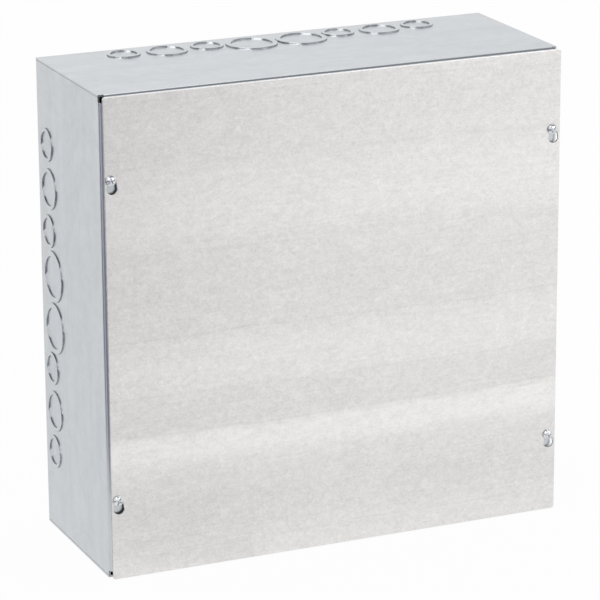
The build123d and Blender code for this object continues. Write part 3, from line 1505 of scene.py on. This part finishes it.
    def build(self, tree: GeometryNodeTree, node: str, turn: float, zinc: Material) -> Object:
        """Makes one screw.

        Args:
            tree: The tree of every screw.
            node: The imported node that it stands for.
            turn: How far the slot is turned from level, in degrees.
            zinc: Its finish.

        Returns:
            The screw.
        """
        low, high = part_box(node)
        host = new_object(node + "_blank", self.turned())
        crown = high.y - (self.head_height + self.shank_length) * MM
        place = Vector(((low.x + high.x) / 2, crown, (low.z + high.z) / 2))
        facing = Matrix.Rotation(-math.radians(turn), 3, "Y") @ Matrix.Rotation(math.pi / 2, 3, "X")
        mesh = grow(
            host,
            tree,
            {
                "Pitch": self.pitch * MM,
                "Thread depth": self.thread_depth * MM,
                "Slot width": self.slot_width * MM,
                "Slot length": self.head_diameter * self.slot_overrun * MM,
                "Slot depth": self.slot_depth * MM,
                "Cross length": self.cross_length * MM,
                "Cross depth": self.cross_depth * MM,
                "Turn": facing.to_euler(),
                "Place": place,
                "Finish": zinc,
            },
            node + "_detail",
        )
        bpy.data.objects.remove(host)
        return new_object(node + "_detail", mesh)


@dataclass
class Studio:
    """A plain white studio with a fixed camera.

    Attributes:
        camera_place: The camera's place, in metres.
        yaw: How far the camera looks to the right of straight ahead, in radians.
        pitch: How far it looks down, in radians.
        roll: How far it is tilted, in radians.
        lens: Focal length on a 36 mm sensor.
        floor_size: Side of the square floor, in metres.
        floor_glow: How much of the floor's look is plain white.
        fill_light: Strength of the light from all sides.
        sensor: Width of the camera's sensor, in millimetres.
        reach: How far the camera sees, in metres.
    """

    camera_place: tuple[float, float, float] = (-1.0969, -2.5126, 1.0366)
    yaw: float = 0.4114
    pitch: float = 0.2982
    roll: float = -0.0061
    lens: float = 203.8
    floor_size: float = 14.0
    floor_glow: float = 0.96
    fill_light: float = 0.75
    sensor: float = 36.0
    reach: float = 60.0

    def camera(self) -> None:
        """Makes the camera at the photograph's angle."""
        data = bpy.data.cameras.new("camera")
        data.sensor_width = self.sensor
        data.lens = self.lens
        data.clip_end = self.reach
        camera = bpy.data.objects.new("camera", data)
        bpy.context.scene.collection.objects.link(camera)
        yaw, pitch, roll = self.yaw, self.pitch, self.roll
        ahead = Vector(
            (math.sin(yaw) * math.cos(pitch), math.cos(yaw) * math.cos(pitch), -math.sin(pitch))
        )
        level = Vector((math.cos(yaw), -math.sin(yaw), 0.0))
        above = level.cross(ahead)
        right = math.cos(roll) * level + math.sin(roll) * above
        up = math.cos(roll) * above - math.sin(roll) * level
        axes = Matrix((right, up, -ahead)).transposed()
        camera.matrix_world = Matrix.Translation(self.camera_place) @ axes.to_4x4()
        bpy.context.scene.camera = camera

    def seen(self, tree: NodeTree) -> NodeSocket:
        """Adds the test for rays that show the backdrop: straight to the eye, mirrored or through glass.

        Args:
            tree: The shader tree.

        Returns:
            A socket that is 1 for such a ray.
        """
        path = add_node(tree, "ShaderNodeLightPath").outputs
        first = calculate(tree, "MAXIMUM", path["Is Camera Ray"], path["Is Glossy Ray"])
        return calculate(tree, "MAXIMUM", first, path["Is Transmission Ray"])

    def surroundings(self) -> None:
        """Makes the white backdrop and its plain light."""
        world = bpy.data.worlds.new("studio")
        bpy.context.scene.world = world
        world.use_nodes = True
        tree = world.node_tree
        tree.nodes.clear()
        light, backdrop = (
            add_node(tree, "ShaderNodeBackground", {"Color": srgb("#FFFFFF"), "Strength": strength})
            for strength in (self.fill_light, 1.0)
        )
        mixed = add_node(tree, "ShaderNodeMixShader", {0: self.seen(tree), 1: light, 2: backdrop})
        add_node(tree, "ShaderNodeOutputWorld", {0: mixed})

    def flat(self, name: str, corners: Sequence[Point], material: Material) -> Object:
        """Makes a flat sheet with one face.

        Args:
            name: The sheet's name.
            corners: Its corners, in metres.
            material: Its material.

        Returns:
            The sheet.
        """
        mesh = bpy.data.meshes.new(name)
        mesh.from_pydata(corners, [], [tuple(range(len(corners)))])
        mesh.materials.append(material)
        return new_object(name, mesh)

    def floor(self) -> None:
        """Makes the floor: matt white paper that keeps the shadow."""
        half = self.floor_size / 2
        corners = [(-half, -half, 0), (half, -half, 0), (half, half, 0), (-half, half, 0)]
        material = bare_material("white_paper")
        tree = material.node_tree
        paper = add_node(tree, "ShaderNodeBsdfDiffuse", {"Color": srgb("#F4F4F4")})
        bright = add_node(tree, "ShaderNodeEmission", {"Color": srgb("#FFFFFF"), "Strength": 1.0})
        share = calculate(tree, "MULTIPLY", self.seen(tree), self.floor_glow)
        mixed = add_node(tree, "ShaderNodeMixShader", {0: share, 1: paper, 2: bright})
        add_node(tree, "ShaderNodeOutputMaterial", {0: mixed})
        floor = self.flat("floor", corners, material)

    def board(self, name: str, corners: Sequence[Point], tone: str, strength: float = 1.0) -> None:
        """Makes a flat board that only polished metal shows.

        Args:
            name: The board's name.
            corners: Its corners, in metres.
            tone: Its colour.
            strength: How bright it is.
        """
        material = bare_material(name + "_cloth")
        tree = material.node_tree
        cloth = add_node(tree, "ShaderNodeEmission", {"Color": srgb(tone), "Strength": strength})
        add_node(tree, "ShaderNodeOutputMaterial", {0: cloth})
        board = self.flat(name, corners, material)
        board.visible_camera = False
        board.visible_diffuse = False
        board.visible_shadow = False

    def lamp(self, name: str, place: Point, aim: Point, size: float, watts: float) -> None:
        """Hangs a square softbox.

        Args:
            name: The lamp's name.
            place: Where it hangs, in metres.
            aim: What it points at, in metres.
            size: Its side, in metres.
            watts: Its power.
        """
        data = bpy.data.lights.new(name, "AREA")
        data.shape = "SQUARE"
        data.size = size
        data.energy = watts
        lamp = bpy.data.objects.new(name, data)
        bpy.context.scene.collection.objects.link(lamp)
        lamp.location = place
        lamp.rotation_euler = (Vector(aim) - Vector(place)).to_track_quat("-Z", "Y").to_euler()

    def build(self) -> None:
        """Makes the camera, the backdrop, the floor, the boards and the lamps."""
        bpy.context.scene.view_settings.view_transform = "Standard"
        self.camera()
        self.surroundings()
        self.floor()
        ceiling = ((-3.0, -3.4, 2.6), (-3.0, 1.6, 2.6), (3.0, 1.6, 2.6), (3.0, -3.4, 2.6))
        self.board("ceiling", ceiling, "#96999E")
        left = ((-0.55, 0.3), (-0.45, -0.05), (-3.4, -0.05), (-3.4, 2.4))
        front = ((-0.42, -0.13), (-0.3, -0.35), (-0.12, -0.68), (0.12, -1.25), (0.35, -2.0))
        front += ((0.4, -3.4), (-3.4, -3.4), (-3.4, -0.9))
        above_floor = 0.003
        for name, outline in (("left_flag", left), ("front_left_flag", front)):
            self.board(name, [(x, y, above_floor) for x, y in outline], "#74768A")
        left = ((-1.3, 1.05), (-0.35, 1.05), (-0.35, 2.0), (-1.3, 2.0))
        right = ((0.4, 0.9), (1.6, 0.9), (1.6, 1.85), (0.4, 1.85))
        for name, outline, y in (("left_card", left, -1.75), ("right_card", right, -1.6)):
            self.board(name, [(x, y, z) for x, z in outline], "#FFFFFF", strength=3.0)
        self.lamp("front_softbox", (1.9, -2.2, 0.5), (0.1, -0.08, 0.1), 1.2, 4.0)
        self.lamp("back_softbox", (0.7, 1.95, 2.5), (0.0, 0.0, 0.4), 0.8, 3.6)


COVER_BANDS = tuple(
    RollBand(middle, tone)
    for middle, tone in (
        (3.0, -0.06), (26.0, -0.05), (62.0, -0.01), (74.0, 0.05), (92.0, 0.085), (118.0, 0.085),
        (132.0, 0.015), (150.0, 0.0), (170.0, -0.01), (204.0, 0.0), (216.0, 0.07), (234.0, 0.11),
        (249.0, 0.08), (257.0, 0.01), (283.0, -0.01), (293.0, 0.2), (307.0, 0.2), (318.0, 0.06),
        (328.0, 0.0), (352.0, -0.06), (374.0, -0.03), (388.0, 0.03), (403.0, 0.05),
    )
)
COVER_LINES = tuple(
    RollLine(middle, tone, width)
    for middle, tone, width in (
        (8.0, -0.05, 2.0), (62.0, -0.04, 2.0), (135.0, -0.04, 2.0), (172.0, -0.03, 2.0),
        (205.0, -0.09, 2.0), (253.0, -0.08, 2.0), (286.0, -0.1, 3.0), (319.0, -0.05, 2.0),
        (352.0, -0.05, 2.0), (388.0, -0.05, 2.0),
    )
)


class ScrewTurn(Enum):
    """How far each screw's slot happens to be turned from level, in degrees."""

    cover_screw_top_left = 20.0
    cover_screw_top_right = -35.0
    cover_screw_bottom_left = 65.0
    cover_screw_bottom_right = 5.0


def place_of(node: str) -> tuple[float, float]:
    """Where a screw's axis is across and up, in millimetres."""
    low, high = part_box(node)
    return ((low.x + high.x) / 2 / MM, (low.z + high.z) / 2 / MM)


def report(piece: Object) -> None:
    """Says how large a finished piece is."""
    piece.data.calc_loop_triangles()
    log.info("%s: %d triangles", piece.name, len(piece.data.loop_triangles))


def main() -> None:
    """Builds the studio and every piece of the box."""
    logging.basicConfig(level=logging.INFO, format="%(name)s: %(message)s")
    Studio().build()
    body_zinc = Galvanised(
        name="galvanised_body_sheet",
        dark="#BABEC1",
        light="#D3D6D9",
        layers=(
            Layer((60.0, 2.4, 60.0), 0.2, 3.0),
            Layer((90.0, 14.0, 90.0), 0.22),
            Layer((16.0, 16.0, 12.0), 0.3, 2.0, 1.0),
            Layer((3.0, 3.0, 3.0), 0.16, 3.0, 1.0),
        ),
        roughness=0.3,
    ).build()
    cover_zinc = Galvanised(
        name="galvanised_cover_sheet",
        dark="#CFCDCB",
        light="#F4F2F0",
        layers=(
            Layer((2.6, 2.6, 2.2), 0.57, 2.0, 1.2),
            Layer((12.0, 12.0, 9.0), 0.34, 3.0, 1.5),
            Layer((70.0, 70.0, 1.6), 0.16, 2.0),
        ),
        bands=COVER_BANDS,
        lines=COVER_LINES,
    ).build()
    # Cut faces: bare steel, darker than the zinc partly as painted shade in the narrow cuts.
    cut = ShearedSteel().build()
    plate = ZincPlate().build()
    places = [place_of(turn.name) for turn in ScrewTurn]

    body = FoldedBody(screw_places=places).build(body_zinc, cut)
    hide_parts("box_body")
    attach(body, "box")
    report(body)

    # A near-white metal for the cover's upper edge only: a painted highlight for the light that it
    # catches from above.
    top_edge_highlight = ShearedSteel("coated_slit_edge", "#F2F2F2", "#FFFFFF", roughness=0.45, tear=3.0).build()
    cover = CoverPlate(screw_places=places).build(cover_zinc, cut, top_edge_highlight)
    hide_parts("cover")
    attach(cover, "cover")
    report(cover)

    screw = CoverScrew()
    tree = screw.tree()
    for turn in ScrewTurn:
        piece = screw.build(tree, turn.name, turn.value, plate)
        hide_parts(turn.name)
        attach(piece, turn.name.replace("cover_", ""))
        report(piece)


if __name__ == "__main__":
    main()
